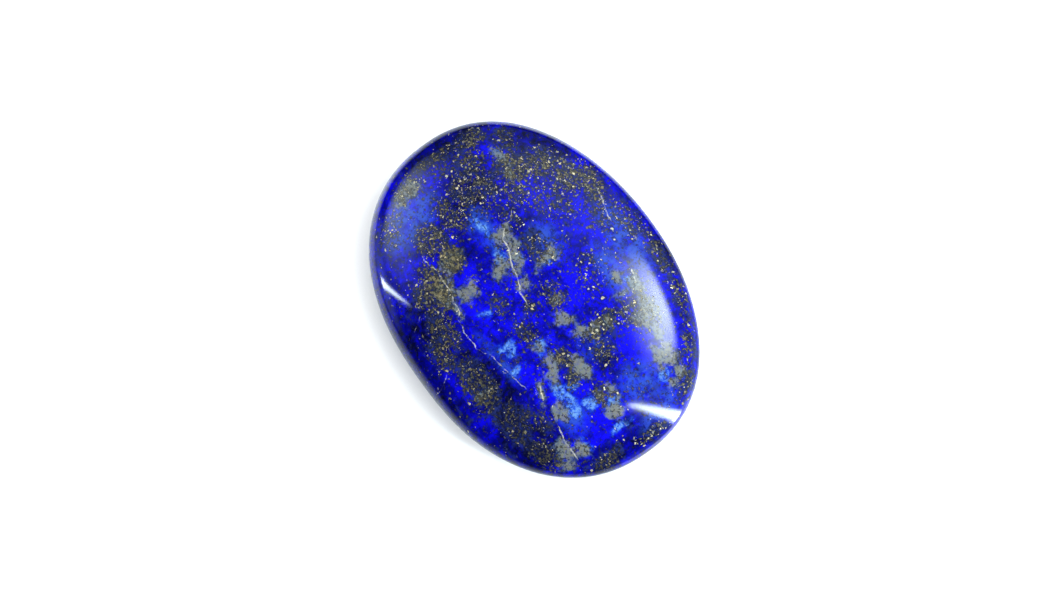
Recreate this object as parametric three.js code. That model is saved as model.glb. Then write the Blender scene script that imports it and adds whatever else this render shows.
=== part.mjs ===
// A lapis lazuli palm stone: one polished pebble of solid rock, oval in plan and pillow shaped
// in section. It lies on a small flat spot ground on its underside.
//
// Millimetres, +Z up. The origin is on the surface that the stone lies on, under the middle of
// its outline. +X runs along its length and +Y across it.
import * as THREE from "three";
import { mergeVertices } from "three/addons/utils/BufferGeometryUtils.js";

// Overall sizes
const LENGTH = 64.6;
const WIDTH = 47;
const THICKNESS = 15.5;
const FLAT_SPOT_LENGTH = 21;

// The girdle, where the stone is widest, isn't level.
const GIRDLE_HEIGHT = 8.5; // on average
const GIRDLE_LEAN = 2; // how much higher it is on its high side
const HIGH_SIDE = THREE.MathUtils.degToRad(65);

// Shape of the outline, seen from above
const OUTLINE_SQUARENESS = 2.2; // 2 is a true ellipse, and more fills out its corners
const OUTLINE_LUMPS = [
  // The hand-ground outline swells a little where each of these waves peaks.
  { waves: 3, swell: -0.0023, turn: THREE.MathUtils.degToRad(2) },
  { waves: 5, swell: -0.003, turn: THREE.MathUtils.degToRad(-18) },
];

// Shape of the section, from the rounded edge to the dome
const SECTION_FULLNESS = 2.3; // 2 is a true ellipse, and more gives a fuller edge

// Facets
const SIDES = 96;
const UNDERSIDE_STEPS = 12;
const CROWN_STEPS = 20;

const CROWN_HEIGHT = THICKNESS - GIRDLE_HEIGHT;
const FLAT_SPOT_SHARE = FLAT_SPOT_LENGTH / LENGTH;

// Height of a dome of unit height over a point at this share of the way out to the girdle.
function domeHeight(share) {
  return (1 - share ** SECTION_FULLNESS) ** (1 / SECTION_FULLNESS);
}

// The underside is a dome that would be this deep if its lowest part weren't ground flat.
const UNDERSIDE_DEPTH = GIRDLE_HEIGHT / domeHeight(FLAT_SPOT_SHARE);

// Distance from the axis to the girdle in one direction. The fullness and the lumps of the
// outline fade towards the crown, where the stone is a plain oval dome.
function outlineRadius(angle, share) {
  const alongX = Math.abs(Math.cos(angle)) / (LENGTH / 2);
  const alongY = Math.abs(Math.sin(angle)) / (WIDTH / 2);
  const oval = 1 / Math.hypot(alongX, alongY);
  const fullOval =
    (alongX ** OUTLINE_SQUARENESS + alongY ** OUTLINE_SQUARENESS) ** (-1 / OUTLINE_SQUARENESS);
  const lumps = OUTLINE_LUMPS.reduce(
    (sum, { waves, swell, turn }) => sum + swell * Math.cos(waves * (angle - turn)),
    0,
  );
  return THREE.MathUtils.lerp(oval, fullOval * (1 + lumps), share ** 2);
}

// Moves a height of the level section to where the leaning girdle puts it in one direction. The
// flat spot and the top stay where they are.
function leaningHeight(angle, height) {
  const girdle = GIRDLE_HEIGHT + GIRDLE_LEAN * Math.cos(angle - HIGH_SIDE);
  if (height <= GIRDLE_HEIGHT) return (height * girdle) / GIRDLE_HEIGHT;
  return THREE.MathUtils.mapLinear(height, GIRDLE_HEIGHT, THICKNESS, girdle, THICKNESS);
}

// Half of the section, from the middle of the flat spot round the edge to the top, with the
// distance from the axis as a share of the way out to the girdle.
function sectionPoints() {
  const points = [new THREE.Vector2(0, 0)];
  const curvePower = 2 / SECTION_FULLNESS; // spaces the steps evenly round the curve
  const flatAngle = Math.asin(FLAT_SPOT_SHARE ** (1 / curvePower));
  for (let step = 0; step <= UNDERSIDE_STEPS; step++) {
    const angle = THREE.MathUtils.lerp(flatAngle, Math.PI / 2, step / UNDERSIDE_STEPS);
    const share = Math.sin(angle) ** curvePower;
    const depth = UNDERSIDE_DEPTH * Math.max(Math.cos(angle), 0) ** curvePower;
    points.push(new THREE.Vector2(share, GIRDLE_HEIGHT - depth));
  }
  points[1].y = 0; // exactly level with the middle of the flat spot
  for (let step = 1; step <= CROWN_STEPS; step++) {
    const angle = (Math.PI / 2) * (1 - step / CROWN_STEPS);
    const share = Math.sin(angle) ** curvePower;
    const rise = CROWN_HEIGHT * Math.cos(angle) ** curvePower;
    points.push(new THREE.Vector2(share, GIRDLE_HEIGHT + rise));
  }
  return points;
}

// The section turned round the axis, then stretched to the outline and the leaning girdle, and
// centred on the origin.
function stoneGeometry() {
  const turned = new THREE.LatheGeometry(sectionPoints(), SIDES).rotateX(Math.PI / 2);
  turned.deleteAttribute("normal");
  turned.deleteAttribute("uv");
  const geometry = mergeVertices(turned, 1e-5);
  const position = geometry.getAttribute("position");
  for (let i = 0; i < position.count; i++) {
    const share = Math.hypot(position.getX(i), position.getY(i));
    const angle = Math.atan2(position.getY(i), position.getX(i));
    const radius = share * outlineRadius(angle, share);
    const height = leaningHeight(angle, position.getZ(i));
    position.setXYZ(i, radius * Math.cos(angle), radius * Math.sin(angle), height);
  }
  geometry.computeBoundingBox();
  const middle = geometry.boundingBox.getCenter(new THREE.Vector3());
  geometry.translate(-middle.x, -middle.y, 0);
  geometry.computeVertexNormals();
  return geometry;
}

function palmStone() {
  const lapis = new THREE.MeshStandardMaterial({
    name: "polished_lapis",
    color: new THREE.Color(0.16, 0.18, 0.66),
    roughness: 0.1,
    metalness: 0,
  });
  const stone = new THREE.Mesh(stoneGeometry(), lapis);
  stone.name = "stone";
  return stone;
}

const root = new THREE.Group();
root.name = "lapis_palm_stone";
root.add(palmStone());

export default root;
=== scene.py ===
import math
from collections import namedtuple

import bpy
import numpy as np
from bpy.props import FloatProperty, FloatVectorProperty, PointerProperty
from mathutils import Matrix, Vector


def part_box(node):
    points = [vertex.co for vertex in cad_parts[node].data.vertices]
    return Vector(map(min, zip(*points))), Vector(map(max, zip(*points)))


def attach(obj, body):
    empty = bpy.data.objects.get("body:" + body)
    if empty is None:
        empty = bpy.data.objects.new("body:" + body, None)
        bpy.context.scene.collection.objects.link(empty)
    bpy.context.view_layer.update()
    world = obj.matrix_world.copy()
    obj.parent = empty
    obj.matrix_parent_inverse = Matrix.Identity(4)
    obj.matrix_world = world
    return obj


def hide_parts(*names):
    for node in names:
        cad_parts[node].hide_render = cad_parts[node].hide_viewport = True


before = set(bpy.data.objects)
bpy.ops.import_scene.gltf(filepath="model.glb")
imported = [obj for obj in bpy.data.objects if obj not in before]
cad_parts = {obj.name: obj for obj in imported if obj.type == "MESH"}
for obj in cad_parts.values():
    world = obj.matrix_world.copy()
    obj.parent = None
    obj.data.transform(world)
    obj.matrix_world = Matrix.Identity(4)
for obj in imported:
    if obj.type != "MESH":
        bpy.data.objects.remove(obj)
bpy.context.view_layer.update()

bl_info = {
    "name": "Lapis lazuli palm stone",
    "version": (1, 0, 0),
    "blender": (4, 5, 0),
    "location": "View3D > Sidebar > Palm Stone",
    "description": "Makes a polished lapis lazuli palm stone and a plain studio round it",
    "category": "Object",
}

MILLIMETRE = 0.001
NODE = "stone"
NODE_LOW, NODE_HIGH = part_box(NODE)
NODE_SIZE = NODE_HIGH - NODE_LOW

# --------------------------------------------------------------------------------------------
# The stone's form
# --------------------------------------------------------------------------------------------

Lump = namedtuple("Lump", "waves swell turn")
OUTLINE_LUMPS = (
    # The hand-ground outline swells a little where each of these waves peaks.
    Lump(waves=3, swell=-0.0023, turn=math.radians(2)),
    Lump(waves=5, swell=-0.003, turn=math.radians(-18)),
)
GRID_STEPS = 220  # squares along each side of the crown's grid, and of the underside's
SECTION_SAMPLES = 4000  # points that the length of the section is measured on
RIM_SAMPLES = 721  # points that the middle of the outline is found from
SHARE_ROUNDS = 8  # rounds that settle how far out on the surface a place in plan lies
RIM_HAIR = 1e-9  # how near to the rim a point is that counts as on it
ROCKING_WAVES = 14  # shallow waves that hand polishing leaves in the surface
SHORTEST_WAVE, LONGEST_WAVE = 7.0, 22.0  # mm
HAND_SEED = 5
# The unwrapped surface, with the crown above the underside, in shares of the map
MAP_REACH = (0.49, 0.24)
CROWN_ON_MAP = (0.5, 0.75)
UNDERSIDE_DROP = (0, 0.5)


class StoneForm:
    """The stone's surface, in millimetres, with its flat spot on z = 0."""

    def __init__(self, settings):
        self.half_length = settings.length / MILLIMETRE / 2
        self.half_width = settings.width / MILLIMETRE / 2
        self.thickness = settings.thickness / MILLIMETRE
        self.girdle = settings.girdle_height / MILLIMETRE
        self.lean = settings.girdle_lean / MILLIMETRE
        self.high_side = settings.high_side
        self.squareness = settings.outline_squareness
        self.fullness = settings.section_fullness
        self.flat_share = settings.flat_spot_length / settings.length
        angles = np.linspace(0, 2 * math.pi, RIM_SAMPLES)
        rim = self.radius(angles, 1.0)[:, None] * np.column_stack((np.cos(angles), np.sin(angles)))
        self.middle = (rim.max(axis=0) + rim.min(axis=0)) / 2

    def dome(self, share):
        """Height of a dome of unit height, at this share of the way out to the girdle."""
        return np.maximum(1 - share**self.fullness, 0) ** (1 / self.fullness)

    def radius(self, angle, share):
        """Distance from the axis to the girdle. Its fullness and lumps fade towards the crown."""
        along = np.abs(np.cos(angle)) / self.half_length
        across = np.abs(np.sin(angle)) / self.half_width
        oval = 1 / np.hypot(along, across)
        full_oval = (along**self.squareness + across**self.squareness) ** (-1 / self.squareness)
        lumps = sum(lump.swell * np.cos(lump.waves * (angle - lump.turn)) for lump in OUTLINE_LUMPS)
        return oval + (full_oval * (1 + lumps) - oval) * share**2

    def girdle_height(self, angle):
        """Height of the girdle, which leans, in one direction."""
        return self.girdle + self.lean * np.cos(angle - self.high_side)

    def height(self, angle, share, crown):
        """Height over the floor, on the crown or on the underside."""
        girdle = self.girdle_height(angle)
        if crown:
            return girdle + (self.thickness - girdle) * self.dome(share)
        return girdle * np.maximum(1 - self.dome(share) / self.dome(self.flat_share), 0)

    def points(self, share, angle, crown):
        """Points of the surface, from their share of the way out and their angle."""
        radius = share * self.radius(angle, share)
        return np.column_stack(
            (
                radius * np.cos(angle) - self.middle[0],
                radius * np.sin(angle) - self.middle[1],
                self.height(angle, share, crown),
            )
        )

    def even_shares(self, steps, crown):
        """Turns even steps from 0 to 1 into shares that lie evenly along the section."""
        share = np.sin(np.linspace(0, math.pi / 2, SECTION_SAMPLES))
        out = share * (self.half_length + self.half_width) / 2
        height = self.height(self.high_side + math.pi / 2, share, crown)
        length = np.concatenate(([0], np.cumsum(np.hypot(np.diff(out), np.diff(height)))))
        return np.interp(steps, length / length[-1], share)

    def side_height(self, x, y, crown):
        """Height of the crown or the underside over points given in plan."""
        x, y = np.asarray(x) + self.middle[0], np.asarray(y) + self.middle[1]
        angle, distance = np.arctan2(y, x), np.hypot(x, y)
        share = np.zeros_like(distance)
        for _ in range(SHARE_ROUNDS):
            share = np.minimum(distance / self.radius(angle, share), 1)
        return self.height(angle, share, crown)


def disc_grid(steps):
    """A square grid laid on the unit disc: each point's place, distance from the middle and angle."""
    line = np.linspace(-1, 1, steps + 1)
    x, y = (side.ravel() for side in np.meshgrid(line, line))
    reach = np.maximum(np.abs(x), np.abs(y))
    lesser = np.minimum(np.abs(x), np.abs(y))
    tilt = math.pi / 4 * np.divide(lesser, reach, out=np.zeros_like(reach), where=reach > 0)
    steep = np.abs(y) > np.abs(x)
    first = np.where(steep, math.pi / 2 - tilt, tilt)
    angle = np.arctan2(np.sin(first) * np.sign(y), np.cos(first) * np.sign(x))
    place = reach[:, None] * np.column_stack((np.cos(angle), np.sin(angle)))
    return place, reach, angle


def grid_quads(steps):
    """The corners of each square of the grid, anticlockwise from above."""
    corner = np.arange((steps + 1) ** 2).reshape(steps + 1, steps + 1)
    squares = (corner[:-1, :-1], corner[:-1, 1:], corner[1:, 1:], corner[1:, :-1])
    return np.stack(squares, axis=-1).reshape(-1, 4)


def hand_polish(points, form, depth):
    """Heights of the shallow unevenness that hand polishing leaves, none of it near the floor."""
    rng = np.random.default_rng(HAND_SEED)
    unevenness = np.zeros(len(points))
    for _ in range(ROCKING_WAVES):
        way = rng.normal(size=3)
        way /= np.linalg.norm(way)
        wave = rng.uniform(SHORTEST_WAVE, LONGEST_WAVE)
        start = rng.uniform(0, 2 * math.pi)
        unevenness += np.sin(points @ way * 2 * math.pi / wave + start) * wave
    unevenness *= depth / np.abs(unevenness).max()
    return unevenness * np.clip(points[:, 2] / form.girdle, 0, 1) ** 2


def outward(points, form):
    """Unit vectors roughly square to the surface, for moving it by a hair."""
    axes = (form.half_length, form.half_width, form.thickness / 2)
    away = (points - (0, 0, form.girdle)) / np.square(axes)
    return away / np.linalg.norm(away, axis=1, keepdims=True)


def stone_mesh(form, unevenness):
    """The closed mesh, and for each corner of its faces the place on the unwrapped surface."""
    place, reach, angle = disc_grid(GRID_STEPS)
    on_rim = reach > 1 - RIM_HAIR
    crown = form.points(form.even_shares(reach, True), angle, True)
    underside = form.points(form.even_shares(reach, False), angle, False)

    # The underside shares the crown's vertices along the girdle.
    inner = np.flatnonzero(~on_rim)
    below = np.arange(len(reach))
    below[inner] = len(reach) + np.arange(len(inner))
    points = np.concatenate((crown, underside[inner]))
    points += outward(points, form) * hand_polish(points, form, unevenness)[:, None]

    quads = grid_quads(GRID_STEPS)
    faces = np.concatenate((quads, below[quads[:, ::-1]]))
    mesh = bpy.data.meshes.new(NODE)
    mesh.from_pydata((points * MILLIMETRE).tolist(), [], faces.tolist())
    mesh.polygons.foreach_set("use_smooth", np.ones(len(faces), bool))

    # The crown's half of the map lies over the underside's.
    half_map = place * MAP_REACH + CROWN_ON_MAP
    upper = half_map[quads]
    lower = half_map[quads[:, ::-1]] - UNDERSIDE_DROP
    unwrapped = mesh.uv_layers.new(name="OFBake")
    unwrapped.uv.foreach_set("vector", np.concatenate((upper, lower)).ravel().astype(np.float32))
    return mesh, points


# --------------------------------------------------------------------------------------------
# The markings, in millimetres as seen from above
# --------------------------------------------------------------------------------------------

# Places and sizes are in millimetres and turns in degrees. gold and dark say how much pyrite and dark
# rock a cloud brings, and depth how much darker, below 0, or more vivid a shade makes the blue.
Patch = namedtuple("Patch", "x y length width turn", defaults=(0,))
Cloud = namedtuple("Cloud", "x y length width turn gold dark")
Shade = namedtuple("Shade", "x y length width depth")
Nugget = namedtuple("Nugget", "x y size")
Vein = namedtuple("Vein", "width path")


def marks(kind, *rows):
    """One mark of a kind for each row of values."""
    return [kind(*row) for row in rows]


CALCITE = marks(
    Patch,
    # round the vein in the middle
    (-10.6, 1.2, 2.8, 2.6), (-8.5, 1.7, 3.2, 1.8, 10), (-6.4, 1.1, 2.6, 2.4), (-5.0, -0.5, 2.6, 1.3, -20),
    (-6.2, -2.4, 3.2, 2.6, -30), (-1.6, -0.5, 1.8, 1.6), (-3.0, 4.2, 1.4, 3.6, 15), (-3.4, 6.3, 2.0, 1.6),
    # right of the middle
    (3.1, 2.0, 1.6, 1.6), (6.9, 1.2, 2.6, 2.2), (9.6, 2.1, 1.6, 2.8, -10), (10.9, 4.7, 1.8, 2.6),
    (11.4, 6.8, 1.5, 1.6), (15.1, -1.2, 3.8, 2.5), (12.0, -4.9, 4.0, 2.4, -25), (13.4, -6.2, 2.2, 1.2, -15),
    (8.2, -4.5, 1.6, 1.6),
    # towards the right end
    (20.9, 0.8, 2.4, 1.6), (20.6, -1.7, 1.3, 1.2), (24.0, -0.7, 2.2, 2.2), (19.1, -8.3, 2.4, 1.8),
    (14.4, -8.8, 2.8, 1.1, -32), (24.4, -11.4, 3.6, 3.0), (26.2, -12.2, 1.8, 2.0), (25.8, -8.8, 2.8, 1.8),
    # under the far edge on the right
    (7.6, 15.2, 3.0, 0.9, -12), (9.2, 14.4, 2.6, 1.9, -20), (12.6, 13.5, 3.6, 1.5, 5),
    (14.2, 11.8, 2.2, 3.0), (17.3, 12.7, 3.4, 1.5, -5), (20.4, 12.6, 3.4, 1.6), (20.9, 11.0, 3.6, 2.4, 10),
    (22.6, 12.3, 2.4, 2.0), (22.0, 9.9, 2.2, 1.2), (24.7, 11.8, 2.2, 2.0), (25.5, 10.4, 1.3, 1.8),
    (8.9, 11.9, 1.0, 2.2), (6.1, 12.6, 1.5, 1.0),
    # along the near edge on the left
    (-6.3, -9.2, 2.8, 3.4), (-4.9, -12.0, 2.2, 0.9, -8), (-12.2, -8.0, 2.6, 3.2),
    (-10.9, -9.4, 2.4, 1.6, -20), (-8.4, -10.8, 2.6, 1.4, -10), (-7.8, -12.3, 3.6, 1.6, -5),
    (9.1, -16.5, 1.3, 3.2), (-26.4, -6.6, 2.6, 3.4), (-25.6, -8.6, 2.6, 1.8),
    # under the far edge on the left
    (-21.8, 9.2, 3.4, 1.3, 10), (-18.6, 8.6, 1.6, 1.2),
)
SKY_BLUE = marks(
    Patch,
    (-14.2, -0.7, 2.7, 1.4), (-12.2, -0.6, 2.0, 0.9), (-7.6, -1.2, 2.6, 1.8, -20), (-5.7, 1.0, 0.9, 0.8),
    (-2.8, 5.0, 1.2, 2.2, 10), (22.5, -0.2, 1.8, 1.8), (22.0, -1.5, 1.2, 1.0), (20.6, -3.4, 2.0, 1.8),
    (20.1, -6.2, 2.4, 2.2), (17.8, -5.7, 3.0, 1.3, 10), (16.2, -6.4, 2.4, 1.4), (16.7, -4.1, 1.0, 1.8),
    (8.2, -4.6, 2.0, 1.6), (5.0, -9.0, 0.9, 1.8, -10), (4.5, -10.2, 0.8, 1.4), (6.3, -8.9, 0.6, 1.0),
    (9.1, -9.9, 0.9, 2.2), (-1.4, -8.2, 0.9, 1.8, -25), (25.6, -8.0, 2.0, 1.0), (26.4, -2.0, 0.9, 2.8),
    (23.6, 9.8, 1.5, 2.2), (25.0, 12.1, 1.4, 1.2), (-22.5, 9.1, 1.5, 0.9), (8.5, 13.8, 2.4, 1.2, -10),
)
HAZE_AND_PAINTED_VEIL = marks(
    Patch,
    # lighter blue: partly its own, partly painted reflection of the softbox veils at the left end and far
    # edge
    (-22.0, -9.5, 6.5, 11.0, 15), (-14.0, -0.6, 7.0, 3.4), (-5.5, 6.5, 6.0, 5.0), (4.5, 12.6, 8.0, 4.0),
    (1.5, 17.6, 13.0, 4.5), (13.0, 3.0, 4.0, 4.0), (22.5, 5.5, 6.0, 6.0), (28.0, 5.5, 3.6, 8.0, 25),
    (6.0, -11.3, 7.0, 1.4, 5), (20.5, -7.0, 5.0, 3.6),
)
CLOUDS = marks(
    Cloud,
    # pale grains in the calcite under the far edge on the right
    (8.0, 14.8, 4.5, 2.4, -15, 0.75, 0.1), (13.5, 13.2, 4.5, 3.2, 0, 0.85, 0.1),
    # the band under the far edge, from the left end to the middle
    (-27.6, 7.0, 4.2, 6.0, 0, 0.8, 0.95), (-24.2, 11.6, 5.5, 5.0, 0, 0.4, 0.7),
    (-18.8, 9.8, 8.0, 6.0, 20, 1.0, 0.8), (-17.0, 13.8, 6.5, 7.5, 0, 1.0, 0.8),
    (-12.6, 16.2, 8.0, 6.0, 0, 1.0, 0.8), (-9.5, 18.8, 10.0, 4.4, -12, 1.0, 0.85),
    (-1.0, 19.9, 9.0, 4.2, 0, 0.6, 0.5), (-8.5, 13.0, 5.0, 3.0, 0, 0.6, 0.5),
    (7.0, 20.8, 12.0, 3.4, -8, 0.4, 0.55), (15.0, 19.3, 8.5, 3.0, -18, 0.4, 0.6),
    (21.5, 16.2, 8.5, 3.0, -33, 0.4, 0.6), (26.6, 12.0, 8.0, 3.0, -50, 0.4, 0.6),
    # right of the middle
    (12.5, 11.2, 5.0, 6.5, 0, 0.9, 0.45), (13.5, 14.2, 8.0, 3.5, 0, 1.0, 0.5),
    (11.3, 6.0, 3.6, 9.0, 0, 0.6, 0.65), (14.8, 3.4, 6.0, 4.0, 0, 0.6, 0.65),
    (2.5, 2.0, 5.5, 5.5, 0, 0.4, 0.5), (3.0, 9.5, 8.0, 5.5, 0, 0.4, 0.3),
    (-6.0, 5.0, 7.0, 5.0, 0, 0.35, 0.5), (12.0, -2.6, 5.0, 2.8, 0, 0.5, 0.85),
    (15.8, -3.6, 4.0, 3.0, -30, 0.45, 0.8), (5.0, -5.2, 5.5, 3.6, 0, 0.3, 0.6),
    (1.8, -2.0, 4.0, 3.0, 0, 0.5, 0.6), (20.0, -1.0, 4.5, 3.4, 0, 0.4, 0.6),
    (-1.0, -6.0, 5.0, 3.5, 0, 0.2, 0.5),
    # the left end
    (-28.6, 0.0, 2.4, 13.0, 0, 0.5, 0.75), (-19.8, 2.0, 10.0, 10.0, 0, 0.85, 0.65),
    (-18.5, -3.5, 9.0, 6.0, 0, 0.8, 0.7), (-27.0, -6.5, 4.4, 7.0, 20, 0.9, 0.6),
    (-22.8, -13.0, 7.5, 4.4, -45, 0.6, 0.35), (-15.5, 7.5, 7.0, 5.0, 0, 0.8, 0.65),
    (-12.5, 4.0, 6.0, 4.0, 0, 0.4, 0.5), (-11.5, 11.5, 9.0, 7.0, 20, 0.5, 0.45),
    (-4.0, 15.5, 8.0, 4.0, 0, 0.3, 0.35), (-24.5, 5.0, 6.0, 5.0, 0, 0.5, 0.65),
    (-26.0, 1.0, 5.0, 8.0, 0, 0.25, 0.5),
    # along the near edge
    (-17.0, -8.5, 7.0, 6.0, 0, 0.9, 0.85), (-12.4, -7.8, 6.0, 5.0, 0, 0.45, 1.2),
    (-9.8, -12.6, 10.0, 4.6, -8, 0.5, 1.2), (-9.5, -15.0, 8.0, 4.4, 0, 0.9, 0.8),
    (-3.5, -16.0, 8.0, 5.5, 0, 0.6, 0.75), (-0.5, -18.3, 8.5, 4.2, 0, 0.5, 0.85),
    (7.5, -16.4, 12.5, 6.0, 3, 0.4, 0.9), (15.5, -15.2, 9.5, 5.6, 0, 0.3, 0.85),
    (18.5, -11.6, 5.5, 4.0, 0, 0.15, 0.5), (22.5, -14.5, 7.5, 4.6, 20, 0.25, 0.95),
    (29.9, -6.5, 3.2, 8.5, 20, 0.3, 0.8), (30.3, 2.5, 2.0, 8.0, 0, 0.7, 0.7),
)
TONES_AND_PAINTED_SHADE = marks(
    Shade,
    # where the blue is darker: partly its own navy, partly painted shade along the rim and the near edge
    (-22.5, 13.5, 9.0, 6.0, -0.7), (-20.0, 1.0, 9.0, 12.0, -0.6), (-9.5, 5.5, 9.0, 6.5, -0.45),
    (-12.0, -4.5, 7.0, 3.0, -0.5), (-7.0, -17.5, 14.0, 6.0, -0.7), (10.0, -14.5, 18.0, 7.0, -0.9),
    (21.0, -13.5, 8.0, 7.0, -0.9), (30.0, 0.0, 4.0, 12.0, -0.6), (5.0, 22.0, 18.0, 3.0, -0.6),
    (5.0, -5.0, 5.0, 4.0, -0.4), (8.5, -0.6, 5.0, 2.0, -0.4), (27.0, -1.5, 5.0, 6.0, -0.35),
    (0.0, -22.0, 30.0, 5.0, -0.8), (15.5, 2.0, 6.0, 3.0, -0.5), (3.0, -15.5, 8.0, 5.0, -0.3),
    (24.0, 16.5, 7.0, 4.0, -0.5), (-30.0, 3.0, 6.0, 20.0, -1.0), (-21.0, 17.5, 13.0, 6.0, -1.0),
    (29.5, -8.0, 6.0, 12.0, -0.6), (19.5, -17.0, 14.0, 6.0, -1.0),
    # where it is most vivid
    (3.0, 6.5, 8.0, 6.0, 0.8), (-8.0, -7.0, 4.4, 2.6, 1.0), (-21.5, -8.5, 5.5, 9.0, 0.3),
    (16.5, 8.4, 9.0, 5.0, 0.8), (16.7, -8.0, 3.2, 2.2, 1.0), (17.8, -3.4, 2.4, 2.6, 0.8),
    (24.0, -5.0, 6.5, 6.5, 0.45), (0.0, 14.0, 13.0, 5.5, 0.45), (-12.0, 9.5, 6.5, 5.0, 0.5),
    (11.0, -9.0, 5.0, 3.0, 0.7), (-2.5, -1.8, 3.5, 3.0, 0.6), (5.4, 3.2, 3.0, 6.0, 0.8),
    (22.0, 15.0, 5.5, 2.6, 0.8), (-3.0, -9.5, 4.5, 4.0, 0.6), (22.5, 4.0, 6.0, 3.5, 0.4),
)
NUGGETS = marks(
    Nugget,
    (-17.3, 5.2, 0.7), (-16.0, 5.0, 0.45), (-14.4, 5.0, 0.55), (-13.3, 5.6, 0.6), (-21.0, 4.0, 0.6),
    (-22.6, 4.4, 0.6), (-19.8, 1.2, 0.5), (-10.5, 5.3, 0.55), (-7.0, 5.2, 0.45), (2.0, 8.1, 0.5),
    (5.1, 7.6, 0.55), (0.7, 9.2, 0.65), (0.6, 10.8, 0.5), (7.8, 8.7, 0.65), (10.7, 8.6, 0.45),
    (12.6, 8.2, 0.6), (14.8, 5.5, 0.5), (18.5, 8.1, 0.5), (20.4, 6.0, 0.55), (17.0, 2.4, 0.5),
    (18.4, 2.4, 0.6), (21.8, 1.4, 0.5), (26.4, -0.4, 0.6), (2.4, -2.0, 0.8), (2.0, -1.6, 0.6),
    (11.5, -2.1, 0.6), (8.2, 5.8, 0.5), (11.5, 6.1, 0.5), (-20.1, -13.8, 0.5), (-22.0, -13.6, 0.5),
    (-22.1, -14.4, 0.5), (-10.1, -14.5, 0.65), (-8.9, -14.8, 0.55), (-23.6, -15.4, 0.6), (-0.9, 16.9, 0.6),
    (0.8, 16.1, 0.5), (-14.8, 13.8, 0.5), (-18.8, 10.6, 0.5), (-12.0, 15.1, 0.4), (9.6, 19.6, 0.5),
)
VEINS = (
    # the vein in the middle
    Vein(
        0.30,
        ((-11.9, 2.7), (-10.7, 1.7), (-9.7, 0.9), (-8.1, 0.8), (-7.0, 0.2), (-5.5, -0.4), (-4.2, -0.6)),
    ),
    Vein(0.26, ((-4.4, -0.6), (-3.0, -1.0), (-2.0, -1.4), (-1.0, -2.0), (0.3, -2.1), (1.4, -2.2))),
    # the long vein along the near edge
    Vein(
        0.24,
        ((-16.4, -11.1), (-15.0, -11.6), (-13.5, -11.3), (-12.3, -10.9), (-10.5, -11.1), (-7.4, -11.1)),
    ),
    Vein(0.22, ((-7.6, -11.0), (-6.2, -11.9), (-5.0, -11.7), (-4.2, -12.0), (-3.6, -12.8))),
    Vein(0.30, ((-3.4, -12.9), (-2.0, -13.0), (-1.1, -13.3), (0.2, -13.3), (1.5, -13.1), (2.4, -13.3))),
    Vein(
        0.12,
        ((2.4, -13.2), (3.6, -12.7), (4.5, -11.9), (6.5, -11.7), (8.5, -11.3), (11.3, -10.9), (13.6, -10.1)),
    ),
    # the short veins towards the right end
    Vein(0.34, ((13.0, -8.2), (14.5, -8.9), (15.5, -9.3), (16.3, -9.6))),
    Vein(0.20, ((20.2, -9.7), (22.0, -10.1), (23.3, -10.4), (24.5, -10.3), (27.2, -10.4))),
    Vein(0.14, ((18.7, 12.3), (19.7, 12.0), (21.4, 12.2), (22.6, 12.2))),
    Vein(0.22, ((6.2, 15.4), (7.8, 15.1), (9.0, 14.6))),
    # the short vein under the far edge
    Vein(0.24, ((-8.2, 19.0), (-6.9, 18.8), (-5.3, 18.4), (-4.3, 18.0), (-3.2, 17.6), (-1.8, 17.5))),
    # hairlines
    Vein(0.10, ((-13.5, 5.2), (-12.6, 4.6), (-11.8, 4.0), (-11.8, 2.4))),
    Vein(0.10, ((-8.0, -17.3), (-7.1, -18.6), (-6.1, -20.2))),
    Vein(0.11, ((2.5, -19.3), (3.5, -20.8), (4.0, -21.8), (4.1, -23.4))),
)

UNDERSIDE_SEED = 11
# Marks strewn over the underside: how many, and the least and greatest of each value after the place
UNDERSIDE_CLOUDS = (30, (4, 10), (3, 6), (0, 180), (0.2, 1), (0.2, 0.9))
UNDERSIDE_SHADES = (30, (4, 10), (3, 8), (-0.8, 0.9))
UNDERSIDE_CALCITE = (30, (1.5, 4.5), (1.05, 3.15), (0, 180))
UNDERSIDE_SKY_BLUE = (15, (1.0, 3.0), (0.7, 2.1), (0, 180))
UNDERSIDE_VEINS = (
    Vein(0.26, ((-20.0, 6.0), (-15.5, 4.5), (-11.0, 5.2), (-6.0, 3.4), (-1.0, 3.8), (5.0, 1.2))),
    Vein(0.14, ((5.0, 1.2), (9.5, -1.0), (15.0, -1.6), (21.0, -4.4))),
    Vein(0.22, ((-10.0, -15.0), (-6.0, -12.2), (-1.5, -11.6), (3.0, -9.0))),
    Vein(0.12, ((12.0, 16.0), (14.0, 11.0), (18.5, 7.0))),
)
FAR_OUTSIDE = -3.0  # mm: how deep outside a patch its reach is still told apart
NUGGET_OUTSIDE = -1.0  # mm: the same for a nugget
HAZE_EDGE = 3.0  # mm: how wide the soft edges of the haze are
FADED = 1.35  # how far out a soft mark has faded away, where its edge is at 1
VEIN_SIDE = 1.6  # mm: how far from a vein its sides are told apart
VEIN_TIP = 0.25  # share of its width that a vein has at its ends
VEIN_TAPER = 5  # how fast it widens from there


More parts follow.
